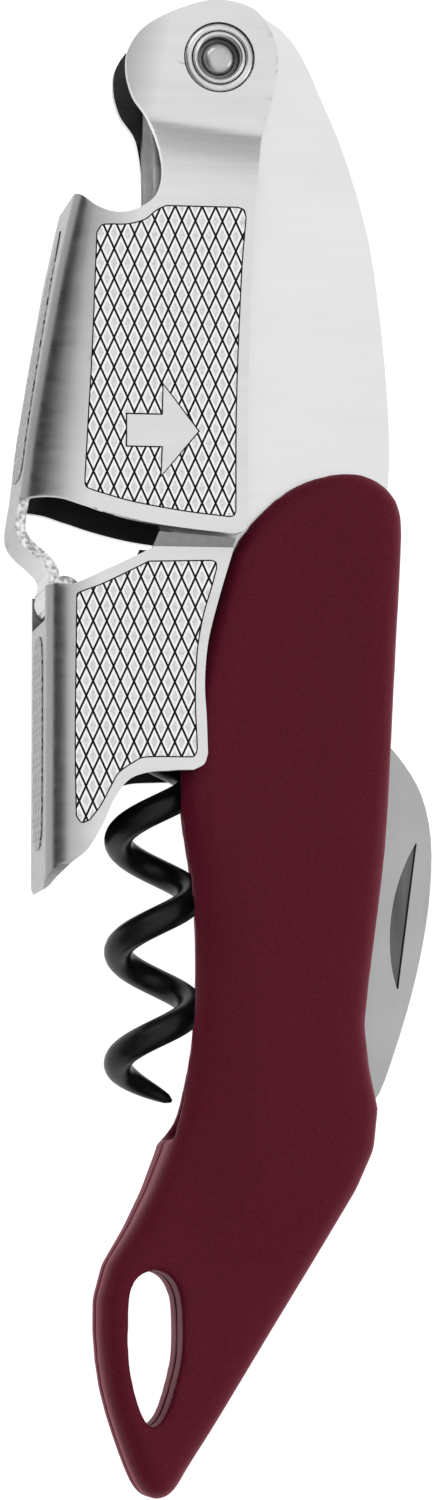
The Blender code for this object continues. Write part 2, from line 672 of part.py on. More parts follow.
# ---------------------------------------------------------------- worm
def worm_points():
    """Centre line and thickness of the wire, from the hub down to the tip."""
    steps_per_turn = 14
    turns = (WORM_TOP - WORM_TIP) / WORM_PITCH
    count = round(turns * steps_per_turn)
    points = [(WORM_PIVOT[0], WORM_PIVOT[1] - 1.6, 0.0, 1.0),
              (WORM_PIVOT[0] - 0.1, WORM_TOP + 1.2, 0.0, 1.0)]
    for step in range(count + 1):
        y = WORM_TOP + (WORM_TIP - WORM_TOP) * step / count
        angle = math.pi - 2 * math.pi * (y - WORM_LEFT_Y) / WORM_PITCH
        spread = WORM_RADIUS * ease((step + 2) / (WORM_LEAD_TURNS * steps_per_turn))
        left = min(1.0, (count - step) / (WORM_TIP_TURNS * steps_per_turn))
        thickness = WORM_TIP_SHARE + (1 - WORM_TIP_SHARE) * math.sqrt(left)
        points.append((WORM_AXIS_X + spread * math.cos(angle), y, spread * math.sin(angle), thickness))
    return points


def build_worm(coating):
    curve = bpy.data.curves.new("worm_wire", "CURVE")
    curve.dimensions = "3D"
    curve.bevel_depth = WORM_WIRE_R * MM
    curve.bevel_resolution = 2
    curve.use_fill_caps = True
    path = curve.splines.new("POLY")
    points = worm_points()
    path.points.add(len(points) - 1)
    for knot, (x, y, z, thickness) in zip(path.points, points):
        knot.co = (*place(x, y, z), 1)
        knot.radius = thickness
    wire = bpy.data.objects.new("worm_wire", curve)
    PARTS.objects.link(wire)
    worm = curve_to_mesh(wire, "worm")
    boolean(worm, cylinder("worm_hub", WORM_PIVOT, HUB_R, -HUB_HALF, HUB_HALF), "UNION")
    boolean(worm, cylinder("worm_bore", WORM_PIVOT, PIN_R + RUN_GAP, -THROUGH, THROUGH))
    return finish(worm, coating)


# ---------------------------------------------------------------- knife
def build_knife(steel):
    edge = outline([*BLADE, [BLADE[-1][-1], BLADE[-1][-1]]], 3)
    start = math.degrees(math.atan2(BLADE[-1][-1][1] - KNIFE_PIVOT[1],
                                    BLADE[-1][-1][0] - KNIFE_PIVOT[0]))
    tang = arc(KNIFE_PIVOT, TANG_R, start + 6, 360 + 22, 14)
    blade = prism("knife_blade", edge + tang, -BLADE_HALF, BLADE_HALF,
                  [circle(KNIFE_PIVOT, PIN_R + RUN_GAP)])
    boolean(blade, prism("nail_nick", outline(NAIL_NICK), NICK_FLOOR, 2))
    return finish(blade, steel)


# ---------------------------------------------------------------- assembly
def build_washers(name, centre, outer, low, steel):
    """Thrust rings that fill the space between a turning part and the frame plates."""
    inner, high = PIN_R + RUN_GAP, LINER_IN - SIDE_PLAY
    ring(name + "_washer_front", centre, inner, outer, low, high, steel)
    ring(name + "_washer_rear", centre, inner, outer, -high, -low, steel)


def build():
    steel = material("brushed_steel", BRUSHED, 0.32, 1.0)
    knurled = material("knurled_steel", BRUSHED, 0.38, 1.0)
    dark = material("shaded_steel", (0.42, 0.42, 0.43), 0.4, 1.0)
    plastic = material("burgundy_soft_touch", (0.115, 0.008, 0.02), 0.55, 0.0)
    coating = material("black_coating", (0.02, 0.02, 0.022), 0.35, 0.0)

    build_rear_scale(build_front_scale(plastic), plastic)
    build_liner("front_liner", 1, steel)
    build_liner("rear_liner", -1, steel)
    bushes = build_head(steel, dark)
    upper = build_upper_lever(knurled)
    lower = build_lower_lever(knurled)
    hinge_pin = pin("lever_hinge_pin", HINGE, HINGE_PIN_R, HINGE_PIN_HALF, steel)
    worm = build_worm(coating)
    knife = build_knife(steel)
    build_washers("worm", WORM_PIVOT, WORM_WASHER_R, HUB_HALF + SIDE_PLAY, steel)
    build_washers("knife", KNIFE_PIVOT, KNIFE_WASHER_R, BLADE_HALF + SIDE_PLAY, steel)
    spring_holes = [circle(centre, PIN_R + RUN_GAP) for centre in SPRING_PINS.values()]
    finish(prism("back_spring", outline(BACK_SPRING), -SPRING_HALF, SPRING_HALF, spring_holes), steel)
    tail_hole = circle(FRAME_PINS["frame_pin_lower"], PIN_R + RUN_GAP)
    finish(prism("tail_spacer", outline(TAIL_SPACER), -TAIL_SPACER_HALF, TAIL_SPACER_HALF,
                 [tail_hole]), dark)
    for name, centre in {"worm_pin": WORM_PIVOT, "knife_pin": KNIFE_PIVOT, **SPRING_PINS}.items():
        pin(name, centre, PIN_R, PIN_HALF, steel)
    for name, centre in FRAME_PINS.items():
        pin(name, centre, PIN_R, DOWEL_HALF, steel)

    lever_axis = joint_empty("lever_pivot_axis", RIVET)
    hinge_axis = joint_empty("lower_lever_hinge_axis", HINGE)
    hang_on(lever_axis, upper, *bushes, hinge_axis)
    hang_on(hinge_axis, lower, hinge_pin)
    hang_on(joint_empty("worm_pivot_axis", WORM_PIVOT), worm)
    hang_on(joint_empty("knife_pivot_axis", KNIFE_PIVOT), knife)


build()
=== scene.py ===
"""Looks of the double-lever waiter's corkscrew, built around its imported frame.

Outlines are drawn in millimetres about the tool's own drawing origin and its mid-plane, with the
head to +Y, the levers to -X and the viewer's side to +Z. at() turns them into the frame's metres.
"""
import json
import math

import bmesh
import bpy
from mathutils import Matrix, Vector


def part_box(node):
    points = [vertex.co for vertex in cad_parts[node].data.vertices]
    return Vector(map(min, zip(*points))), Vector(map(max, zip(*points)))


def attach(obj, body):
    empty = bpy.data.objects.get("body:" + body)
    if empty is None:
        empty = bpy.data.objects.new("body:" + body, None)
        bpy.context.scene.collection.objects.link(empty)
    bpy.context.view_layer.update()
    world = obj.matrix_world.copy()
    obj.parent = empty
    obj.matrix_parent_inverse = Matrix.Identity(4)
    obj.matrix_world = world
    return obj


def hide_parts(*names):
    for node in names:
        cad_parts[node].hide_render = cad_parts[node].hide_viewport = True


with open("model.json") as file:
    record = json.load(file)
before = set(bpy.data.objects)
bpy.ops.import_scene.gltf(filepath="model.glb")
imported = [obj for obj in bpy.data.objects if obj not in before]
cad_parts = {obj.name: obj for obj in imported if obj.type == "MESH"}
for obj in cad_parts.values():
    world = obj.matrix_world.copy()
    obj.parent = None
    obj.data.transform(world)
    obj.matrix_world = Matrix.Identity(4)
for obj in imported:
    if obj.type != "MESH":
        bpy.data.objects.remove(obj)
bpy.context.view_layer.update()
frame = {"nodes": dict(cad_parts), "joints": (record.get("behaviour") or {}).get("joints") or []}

MM = 0.001
JOINTS = {joint["name"]: Vector(joint["pos_m"]) for joint in frame["joints"]}

# ---------------------------------------------------------------- sizes (mm)
RIVET = (-0.5, 57.2)
HINGE = (-13.3, 12.3)
WORM_PIVOT = (-4.6, 12.9)
DRAWING_ORIGIN = JOINTS["lever_pivot"] - Vector((*RIVET, 0)) * MM

SHEET = 0.9                  # lever sheet
HALF_WIDTH = 7.0             # outer face of a lever's side plate, from the mid-plane
EAR_OUT = 4.9                # outer face of an ear, from the mid-plane
EAR_HOLE_R = 2.96
FOLD_SHADE = 0.34            # painted shade: how much of a steel's colour is left on the sheet's fold
THROUGH = 9.0                # a cutter's reach from the mid-plane, past both side plates
PLATE_BRUSH_ANGLE = 8.0      # the brushing of the frame plates climbs to the right

KNURL_DEPTH = 0.13
KNURL_PITCH = 1.02           # between grooves, square to them
KNURL_LEAN = 24.5            # a groove's angle from the tool's length
GROOVE_WIDTH = 0.17
BORDER_GAP = 0.11            # gap round a knurled panel, a dark line through painted shadow on its faces
BED_CLEARANCE = 0.02         # a knurled panel's bed is this much deeper than the panel
STRIP_PROUD = 0.1            # how far the spines' knurled strips stand out of the web

TONGUE_HALF = 4.3            # half the tongue's width, across the tool
TONGUE_SHEET_HALF = 0.42
KNUCKLE_R = 1.5
KNUCKLE_HOLE_R = 0.73
KNUCKLE_NOTCH = ((-18, 10.1, -4.6), (-12, 15, 4.6))
STOP_LEDGE = (-6.6, 16.05)   # where the ledge under the upper lever begins
STOP_LEDGE_FLOOR = 6.5       # from the mid-plane
NICK_FLOOR = 0.4             # floor of the blade's nail nick, from the mid-plane

WORM_AXIS_X = -5.2
WORM_WIRE_R = 1.17
WORM_RADIUS = 3.02
WORM_PITCH = 9.2
WORM_TOP, WORM_TIP = 8.6, -29.0
WORM_LEFT_Y = -7.4           # a height at which the helix reaches its left extreme
WORM_SHANK_TURNS = 0.55      # turns over which the straight shank opens into the helix
WORM_POINT_TURNS = 0.3       # turns over which the wire tapers
WORM_POINT_SHARE = 0.12      # what is left of the wire at its point


# ---------------------------------------------------------------- outlines (mm)
EAR_AND_PLATE = [
    [(0.6, 17.2), (1.3, 17.55), (1.5, 18.5)],
    [(1.5, 18.5), (1.6, 30.0), (1.9, 40.0), (2.2, 45.0), (2.9, 50.0), (3.7, 53.0), (4.35, 56.0),
     (4.2, 58.6), (2.6, 61.2), (-0.4, 62.05), (-3.4, 61.4), (-6.5, 59.8), (-8.0, 57.9),
     (-8.25, 55.9), (-7.7, 53.8), (-6.5, 52.0), (-5.8, 49.7), (-5.5, 47.2), (-5.9, 45.4),
     (-7.0, 44.3), (-8.4, 43.7), (-9.8, 43.7), (-11.0, 44.15), (-11.6, 44.6), (-12.2, 45.1),
     (-12.7, 45.3), (-13.3, 45.1)],
    [(-13.3, 45.1), (-19.0, 44.8)],
    [(-19.0, 44.8), (-19.0, 20.0)],
    [(-19.0, 20.0), (-14.6, 20.1), (-12.2, 19.5), (-9.8, 18.75), (-6.6, 18.0), (-2.8, 17.5),
     (0.6, 17.2)],
]
TONGUE = [(-16.44, 21.0), (-16.72, 19.4), (-16.9, 18.0), (-16.75, 17.1), (-16.15, 16.3),
          (-15.1, 15.4), (-14.3, 14.5), (-14.1, 13.6), (-14.35, 12.8)]
LOWER_SIDE = [
    [(0.3, 15.7), (0.62, 16.9)],
    [(0.62, 16.9), (-5.7, 17.35)],
    [(-5.7, 17.35), (-6.3, 15.95)],
    [(-6.3, 15.95), (-8.4, 14.9), (-10.4, 13.95), (-12.6, 12.95), (-14.2, 12.9), (-17.0, 12.9)],
    [(-17.0, 12.9), (-17.0, -12.0)],
    [(-17.0, -12.0), (-14.9, -11.95), (-13.9, -10.9), (-12.9, -9.9), (-11.6, -8.8), (-10.4, -6.8),
     (-9.4, -4.6), (-8.2, -3.1), (-6.6, -2.45), (-4.6, -2.3), (-2.9, -2.25)],
    [(-2.9, -2.25), (-2.05, -1.75), (-1.75, -0.9)],
    [(-1.75, -0.9), (-1.85, 2.0), (-2.0, 5.0), (-1.7, 8.4), (-0.8, 12.0), (0.3, 15.7)],
]
UPPER_PANEL = [
    [(-10.9, 41.9), (-10.5, 42.45), (-9.8, 42.55)],
    [(-9.8, 42.55), (-8.4, 42.6), (-7.0, 43.0), (-6.0, 43.8), (-5.2, 44.2)],
    [(-5.2, 44.2), (0.7, 44.2)],
    [(0.7, 44.2), (1.2, 44.0), (1.35, 43.4)],
    [(1.35, 43.4), (0.95, 38.2), (0.55, 28.0), (0.5, 19.1)],
    [(0.5, 19.1), (0.35, 18.75), (0.0, 18.65)],
    [(0.0, 18.65), (-3.7, 19.05), (-7.9, 19.75), (-11.1, 20.6)],
    [(-11.1, 20.6), (-11.75, 20.9), (-11.85, 21.5)],
    [(-11.85, 21.5), (-11.65, 25.3), (-11.3, 31.6), (-11.05, 38.0), (-10.9, 41.9)],
]
ARROW = [(-8.45, 26.9), (-5.5, 26.9), (-5.45, 29.4), (-2.55, 25.6), (-5.6, 21.9), (-5.5, 24.3),
         (-8.45, 24.3)]
LOWER_PANEL = [
    [(-12.5, 11.6), (-12.45, 12.0), (-12.0, 12.25)],
    [(-12.0, 12.25), (-10.2, 12.95), (-6.6, 14.75)],
    [(-6.6, 14.75), (-1.5, 14.9)],
    [(-1.5, 14.9), (-1.15, 14.75), (-1.1, 14.3)],
    [(-1.1, 14.3), (-1.5, 12.8), (-2.2, 10.4), (-2.7, 7.4), (-2.85, 3.6), (-2.7, -0.1),
     (-2.75, -0.8)],
    [(-2.75, -0.8), (-2.95, -1.1), (-3.3, -1.15)],
    [(-3.3, -1.15), (-6.8, -1.2), (-7.9, -1.65), (-9.1, -2.5), (-9.7, -3.5), (-10.6, -5.2),
     (-11.5, -6.4)],
    [(-11.5, -6.4), (-12.1, -6.6), (-12.5, -6.1)],
    [(-12.5, -6.1), (-12.6, 0.0), (-12.5, 11.6)],
]
# Narrow knurled strips on the two spines, as (across the spine, along the tool).
UPPER_STRIP = [
    [(-0.4, 43.2), (0.6, 42.9), (1.6, 40.5), (2.4, 36.0), (3.2, 30.0), (3.6, 25.5), (3.2, 22.6),
     (0.0, 22.0), (-3.2, 22.6), (-3.6, 25.5), (-3.2, 30.0), (-2.4, 36.0), (-1.6, 40.5),
     (-0.6, 42.9), (-0.4, 43.2)],
]
LOWER_STRIP = [
    [(0.0, 9.2), (1.8, 8.9), (3.0, 7.4), (3.2, 3.0), (3.2, -3.0), (3.0, -6.6), (1.8, -8.2),
     (0.0, -8.5), (-1.8, -8.2), (-3.0, -6.6), (-3.2, -3.0), (-3.2, 3.0), (-3.0, 7.4),
     (-1.8, 8.9), (0.0, 9.2)],
]
# The line of each spine, as (along the tool, to the right), head first.
UPPER_SPINE = [(63.0, -10.0), (46.0, -12.5), (43.9, -13.0), (39.3, -14.0), (35.7, -14.65),
               (31.4, -15.4), (25.8, -16.3), (21.7, -16.8), (16.0, -17.5)]
LOWER_SPINE = [(19.0, -14.9), (-15.0, -14.9)]


def at(x, y, z=0.0):
    """A point of the drawing, in metres in the frame."""
    return DRAWING_ORIGIN + Vector((x, y, z)) * MM


def spline(points, steps):
    """Smooth curve through points, both ends included."""
    if len(points) == 2:
        return [Vector(p) for p in points]
    knots = [Vector(p) for p in points]
    knots = [2 * knots[0] - knots[1]] + knots + [2 * knots[-1] - knots[-2]]
    curve = []
    for a, b, c, d in zip(knots, knots[1:], knots[2:], knots[3:]):
        for step in range(steps):
            t = step / steps
            curve.append(0.5 * (2 * b + (c - a) * t + (2 * a - 5 * b + 4 * c - d) * t * t
                                + (3 * b - a - 3 * c + d) * t ** 3))
    return curve + [knots[-2]]


def outline(runs, steps=6):
    """Closed outline from runs that meet at corners; its last point isn't repeated."""
    points = []
    for run in runs:
        points += spline(run, steps)[:-1]
    return points


def area(points):
    """Area within an outline, below zero where it runs clockwise."""
    return 0.5 * sum(a.x * b.y - b.x * a.y for a, b in zip(points, points[1:] + points[:1]))


def grown(points, distance):
    """The outline moved outward by distance."""
    points = [Vector(p) for p in points]
    if area(points) < 0:
        points = points[::-1]
    moved = []
    for before, here, after in zip(points[-1:] + points[:-1], points, points[1:] + points[:1]):
        first, second = (here - before).normalized(), (after - here).normalized()
        along = (first + second).normalized()
        stretch = 1 / max(0.5, math.sqrt((1 + first.dot(second)) / 2))
        moved.append(here + Vector((along.y, -along.x)) * distance * stretch)
    return moved


def at_height(table, y):
    """Straight-line value from a table of (height, value), highest first."""
    for (y1, v1), (y0, v0) in zip(table, table[1:]):
        if y >= y0:
            return v0 + (v1 - v0) * min(1.0, (y - y0) / (y1 - y0))
    return table[-1][1]


def ease(t):
    """From 0 to 1 with a soft start and end."""
    t = min(1.0, max(0.0, t))
    return t * t * (3 - 2 * t)


# ---------------------------------------------------------------- modelling helpers
def only(*objects):
    """Select just these objects, the last one active."""
    if bpy.context.object and bpy.context.object.mode != "OBJECT":
        bpy.ops.object.mode_set(mode="OBJECT")
    bpy.ops.object.select_all(action="DESELECT")
    for obj in objects:
        obj.select_set(True)
        bpy.context.view_layer.objects.active = obj


def apply_modifier(obj, kind, **values):
    only(obj)
    modifier = obj.modifiers.new(kind.lower(), kind)
    for key, value in values.items():
        setattr(modifier, key, value)
    bpy.ops.object.modifier_apply(modifier=modifier.name)
    return obj


def join_cut(obj, cutter, operation="DIFFERENCE"):
    """Boolean with a helper solid, which is then removed."""
    apply_modifier(obj, "BOOLEAN", operation=operation, object=cutter, solver="EXACT")
    bpy.data.objects.remove(cutter, do_unlink=True)


def weld(obj, distance):
    """Merge the points that lie on each other."""
    only(obj)
    bpy.ops.object.mode_set(mode="EDIT")
    bpy.ops.mesh.select_all(action="SELECT")
    bpy.ops.mesh.remove_doubles(threshold=distance)
    bpy.ops.object.mode_set(mode="OBJECT")


def face_outward(obj):
    only(obj)
    bpy.ops.object.mode_set(mode="EDIT")
    bpy.ops.mesh.select_all(action="SELECT")
    bpy.ops.mesh.normals_make_consistent(inside=False)
    bpy.ops.object.mode_set(mode="OBJECT")


def settle(obj):
    """Put the piece's place into its mesh, so that its object sits at the origin."""
    only(obj)
    bpy.ops.object.transform_apply(location=True, rotation=True, scale=True)
    return obj


def shade(obj, angle=35):
    only(obj)
    bpy.ops.object.shade_smooth_by_angle(angle=math.radians(angle))


def round_edges(obj, width, segments=2, angle=40):
    apply_modifier(obj, "BEVEL", width=width * MM, segments=segments, limit_method="ANGLE",
                   angle_limit=math.radians(angle), use_clamp_overlap=True, miter_outer="MITER_ARC")


def plate(name, points, low, high, holes=()):
    """Flat plate over a drawn outline, from one height to another."""
    curve = bpy.data.curves.new(name, "CURVE")
    curve.dimensions = "2D"
    curve.fill_mode = "BOTH"
    curve.extrude = (high - low) / 2 * MM
    for loop in [points, *holes]:
        path = curve.splines.new("POLY")
        path.points.add(len(loop) - 1)
        for knot, point in zip(path.points, loop):
            knot.co = (point[0] * MM, point[1] * MM, 0, 1)
        path.use_cyclic_u = True
    obj = bpy.data.objects.new(name, curve)
    obj.location = at(0, 0, (low + high) / 2)
    bpy.context.scene.collection.objects.link(obj)
    only(obj)
    bpy.ops.object.convert(target="MESH")
    obj = bpy.context.object
    weld(obj, 1e-7)
    return settle(obj)


def barrel(name, centre, radius, low, high, vertices=64):
    bpy.ops.mesh.primitive_cylinder_add(vertices=vertices, radius=radius * MM,
                                        depth=(high - low) * MM,
                                        location=at(*centre, (low + high) / 2))
    obj = bpy.context.object
    obj.name = name
    return settle(obj)


def block(name, low, high):
    size, middle = Vector(high) - Vector(low), (Vector(high) + Vector(low)) / 2
    bpy.ops.mesh.primitive_cube_add(size=1, location=at(*middle))
    obj = bpy.context.object
    obj.name = name
    obj.scale = size * MM
    return settle(obj)


def turned(name, centre, profile, segments=96):
    """Ring or pin: a drawn profile of (radius, height) is spun about an axis along Z.

    A pin's profile starts and ends on the axis and stays open there; a ring's is closed.
    """
    mesh = bpy.data.meshes.new(name)
    obj = bpy.data.objects.new(name, mesh)
    bpy.context.scene.collection.objects.link(obj)
    work = bmesh.new()
    knots = [work.verts.new(at(centre[0] + r, centre[1], z)) for r, z in profile]
    for a, b in zip(knots, knots[1:] + knots[:1]):
        if profile[0][0] > 0 or b is not knots[0]:
            work.edges.new((a, b))
    work.to_mesh(mesh)
    work.free()
    only(obj)
    bpy.ops.object.mode_set(mode="EDIT")
    bpy.ops.mesh.select_all(action="SELECT")
    bpy.ops.mesh.spin(steps=segments, angle=2 * math.pi, center=at(*centre), axis=(0, 0, 1))
    bpy.ops.object.mode_set(mode="OBJECT")
    weld(obj, 1e-6)
    face_outward(obj)
    return obj


def mirrored(obj, name):
    """A copy of a piece on the other side of the mid-plane."""
    twin = obj.copy()
    twin.data = obj.data.copy()
    twin.name = name
    bpy.context.scene.collection.objects.link(twin)
    middle = Matrix.Translation((0, 0, 2 * DRAWING_ORIGIN.z))
    twin.data.transform(middle @ Matrix.Diagonal((1, 1, -1, 1)))
    twin.data.flip_normals()
    return twin


def merged_copy(node, name):
    """A CAD node's shape as one clean mesh, with its flat faces whole again."""
    source = frame["nodes"][node]
    obj = source.copy()
    obj.data = source.data.copy()
    obj.name = name
    obj.parent = None
    for key in list(obj.keys()):
        del obj[key]
    bpy.context.scene.collection.objects.link(obj)
    only(obj)
    bpy.ops.object.mode_set(mode="EDIT")
    bpy.ops.mesh.select_all(action="SELECT")
    bpy.ops.mesh.remove_doubles(threshold=2e-6)
    bpy.ops.mesh.dissolve_limited(angle_limit=math.radians(0.5))
    bpy.ops.object.mode_set(mode="OBJECT")
    return obj


def finish_piece(obj, surface, body, slot, *nodes):
    if not obj.data.materials:
        obj.data.materials.append(surface)
    obj.data.materials[0] = surface
    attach(obj, body)
    if nodes:
        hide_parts(*nodes)


# ---------------------------------------------------------------- materials
def new_material(name):
    made = bpy.data.materials.new(name)
    made.use_nodes = True
    return made, made.node_tree.nodes, made.node_tree.links, made.node_tree.nodes["Principled BSDF"]


def ramp(nodes, links, source, stops):
    """Colour ramp fed by a value; stops are (position, grey or colour)."""
    node = nodes.new("ShaderNodeValToRGB")
    while len(node.color_ramp.elements) < len(stops):
        node.color_ramp.elements.new(0.5)
    for element, (position, value) in zip(node.color_ramp.elements, stops):
        element.position = position
        colour = value if isinstance(value, tuple) else (value, value, value)
        element.color = (*colour, 1.0)
    links.new(source, node.inputs["Fac"])
    return node.outputs["Color"]


def noise(nodes, links, scale, stretch=(1, 1, 1), turn=(0, 0, 0), detail=4.0):
    """Noise over the object, stretched and turned to lie along a direction."""
    place = nodes.new("ShaderNodeTexCoord")
    mapping = nodes.new("ShaderNodeMapping")
    mapping.inputs["Scale"].default_value = stretch
    mapping.inputs["Rotation"].default_value = [math.radians(a) for a in turn]
    links.new(place.outputs["Object"], mapping.inputs["Vector"])
    texture = nodes.new("ShaderNodeTexNoise")
    texture.inputs["Scale"].default_value = scale
    texture.inputs["Detail"].default_value = detail
    links.new(mapping.outputs["Vector"], texture.inputs["Vector"])
    return texture.outputs["Fac"]


def bump(nodes, links, shader, height, strength, distance):
    node = nodes.new("ShaderNodeBump")
    node.inputs["Strength"].default_value = strength
    node.inputs["Distance"].default_value = distance
    links.new(height, node.inputs["Height"])
    links.new(node.outputs["Normal"], shader.inputs["Normal"])


def paint_fold_shade(nodes, links, colour, spine, width):
    """Paint shade into a steel from the line of a lever's spine inward, over the width of the fold (mm).
    """
    (high, top), (low, foot) = spine[0], spine[-1]
    slope = (top - foot) / (high - low)
    place = nodes.new("ShaderNodeTexCoord")
    across = nodes.new("ShaderNodeVectorMath")
    across.operation = "DOT_PRODUCT"
    across.inputs[1].default_value = (1 / MM, -slope / MM, 0)
    links.new(place.outputs["Object"], across.inputs[0])
    start = at(foot, low) / MM
    share = nodes.new("ShaderNodeMapRange")
    share.inputs["From Min"].default_value = start.x - slope * start.y
    share.inputs["From Max"].default_value = start.x - slope * start.y + width
    share.inputs["To Min"].default_value = FOLD_SHADE
    links.new(across.outputs["Value"], share.inputs["Value"])
    painted_shade = nodes.new("ShaderNodeMix")
    painted_shade.data_type = "RGBA"
    painted_shade.blend_type = "MULTIPLY"
    painted_shade.inputs["Factor"].default_value = 1.0
    links.new(colour, painted_shade.inputs["A"])
    links.new(share.outputs["Result"], painted_shade.inputs["B"])
    return painted_shade.outputs["Result"]


def brushed_steel(name, light, dark, roughness, stretch, turn=(0, 0, 0), strength=0.12, fold=None):
    """Brushed stainless: long fine streaks in colour, gloss and height, with faint cloudy wear."""
    made, nodes, links, shader = new_material(name)
    shader.inputs["Metallic"].default_value = 1.0
    streaks = noise(nodes, links, 1100, stretch, turn)
    clouds = noise(nodes, links, 240, (0.35, 1, 1), turn, 3.0)
    mix = nodes.new("ShaderNodeMath")
    mix.operation = "MULTIPLY_ADD"
    mix.inputs[1].default_value = 0.6
    links.new(streaks, mix.inputs[0])
    share = nodes.new("ShaderNodeMath")
    share.operation = "MULTIPLY"
    share.inputs[1].default_value = 0.4
    links.new(clouds, share.inputs[0])
    links.new(share.outputs[0], mix.inputs[2])
    colour = ramp(nodes, links, mix.outputs[0], [(0.3, dark), (0.7, light)])
    # painted shade on a lever's fold
    if fold:
        colour = paint_fold_shade(nodes, links, colour, *fold)
    links.new(colour, shader.inputs["Base Color"])
    links.new(ramp(nodes, links, streaks, [(0.3, roughness - 0.05), (0.75, roughness + 0.08)]),
              shader.inputs["Roughness"])
    bump(nodes, links, shader, streaks, strength, 0.00002)
    return made


def soft_touch(name):
    """Burgundy soft-touch coating: deep matt colour with a fine dry speckle."""
    made, nodes, links, shader = new_material(name)
    grain = noise(nodes, links, 5200, detail=3.0)
    clouds = noise(nodes, links, 90, detail=2.0)
    mix = nodes.new("ShaderNodeMix")
    mix.data_type = "RGBA"
    links.new(ramp(nodes, links, grain, [(0.35, 0.0), (0.72, 1.0)]), mix.inputs["Factor"])
    mix.inputs["A"].default_value = (0.102, 0.0055, 0.0175, 1)
    mix.inputs["B"].default_value = (0.135, 0.010, 0.026, 1)
    links.new(mix.outputs["Result"], shader.inputs["Base Color"])
    links.new(ramp(nodes, links, clouds, [(0.3, 0.5), (0.7, 0.58)]), shader.inputs["Roughness"])
    shader.inputs["Specular IOR Level"].default_value = 0.1
    shader.inputs["Sheen Weight"].default_value = 0.35
    shader.inputs["Sheen Roughness"].default_value = 0.4
    shader.inputs["Sheen Tint"].default_value = (0.75, 0.07, 0.16, 1)
    bump(nodes, links, shader, grain, 0.25, 0.00003)
    return made


def black_coating(name):
    """Satin non-stick coating on the worm, slightly mottled."""
    made, nodes, links, shader = new_material(name)
    mottle = noise(nodes, links, 1500, detail=3.0)
    links.new(ramp(nodes, links, mottle, [(0.3, (0.004, 0.004, 0.005)), (0.7, (0.008, 0.008, 0.009))]),
              shader.inputs["Base Color"])
    links.new(ramp(nodes, links, mottle, [(0.3, 0.3), (0.7, 0.4)]), shader.inputs["Roughness"])
    shader.inputs["Specular IOR Level"].default_value = 0.25
    bump(nodes, links, shader, mottle, 0.2, 0.00003)
    return made


def sheared_edge(name):
    """Cut edge of the sheet: coarse bright tearing grains."""
    made, nodes, links, shader = new_material(name)
    shader.inputs["Metallic"].default_value = 1.0
    grains = noise(nodes, links, 2600, detail=2.0)
    links.new(ramp(nodes, links, grains, [(0.35, 0.42), (0.6, 0.95)]), shader.inputs["Base Color"])
    links.new(ramp(nodes, links, grains, [(0.35, 0.5), (0.65, 0.3)]), shader.inputs["Roughness"])
    bump(nodes, links, shader, grains, 0.7, 0.0001)
    return made


def distance_to_groove(nodes, links, u, v, lean):
    """Distance from the nearest groove of one family, in pitches, from a UV map in mm."""
    angle = math.radians(lean)
    across = nodes.new("ShaderNodeMath")
    across.operation = "MULTIPLY"
    across.inputs[1].default_value = math.cos(angle) / KNURL_PITCH
    links.new(u, across.inputs[0])
    total = nodes.new("ShaderNodeMath")
    total.operation = "MULTIPLY_ADD"
    total.inputs[1].default_value = math.sin(angle) / KNURL_PITCH
    links.new(v, total.inputs[0])
    links.new(across.outputs[0], total.inputs[2])
    wave = nodes.new("ShaderNodeMath")
    wave.operation = "PINGPONG"
    wave.inputs[1].default_value = 0.5
    links.new(total.outputs[0], wave.inputs[0])
    return wave.outputs[0]


def knurled_steel(name, light, middle):
    """Knurled panel: grooves with painted shadow, polished rims with a painted highlight and a dry grey
    centre on each diamond.
    """
    made, nodes, links, shader = new_material(name)
    shader.inputs["Metallic"].default_value = 1.0
    chart = nodes.new("ShaderNodeUVMap")
    chart.uv_map = "UVMap"
    split = nodes.new("ShaderNodeSeparateXYZ")
    links.new(chart.outputs["UV"], split.inputs[0])
    nearest = nodes.new("ShaderNodeMath")
    nearest.operation = "MINIMUM"
    for socket, lean in zip(nearest.inputs, (KNURL_LEAN, -KNURL_LEAN)):
        links.new(distance_to_groove(nodes, links, split.outputs["X"], split.outputs["Y"], lean),
                  socket)
    grain = noise(nodes, links, 4200, detail=3.0)
    centre = ramp(nodes, links, grain, [(0.35, middle * 0.86), (0.65, middle * 1.08)])
    # painted highlight: the rims take a lighter colour than the diamonds' centres
    mix = nodes.new("ShaderNodeMix")
    mix.data_type = "RGBA"
    zone = ramp(nodes, links, nearest.outputs[0], [(0.085, 0.0), (0.12, 1.0), (0.21, 1.0), (0.27, 0.0)])
    links.new(zone, mix.inputs["Factor"])
    links.new(centre, mix.inputs["A"])
    mix.inputs["B"].default_value = (light, light, light, 1)
    # painted shadow: the grooves' floors are nearly black
    floor = nodes.new("ShaderNodeMix")
    floor.data_type = "RGBA"
    links.new(ramp(nodes, links, nearest.outputs[0], [(0.05, 1.0), (0.09, 0.0)]), floor.inputs["Factor"])
    links.new(mix.outputs["Result"], floor.inputs["A"])
    floor.inputs["B"].default_value = (0.035, 0.035, 0.035, 1)
    links.new(floor.outputs["Result"], shader.inputs["Base Color"])
    gloss = ramp(nodes, links, nearest.outputs[0],
                 [(0.06, 0.7), (0.12, 0.28), (0.21, 0.3), (0.28, 0.5)])
    links.new(gloss, shader.inputs["Roughness"])
    bump(nodes, links, shader, grain, 0.3, 0.00003)
    return made
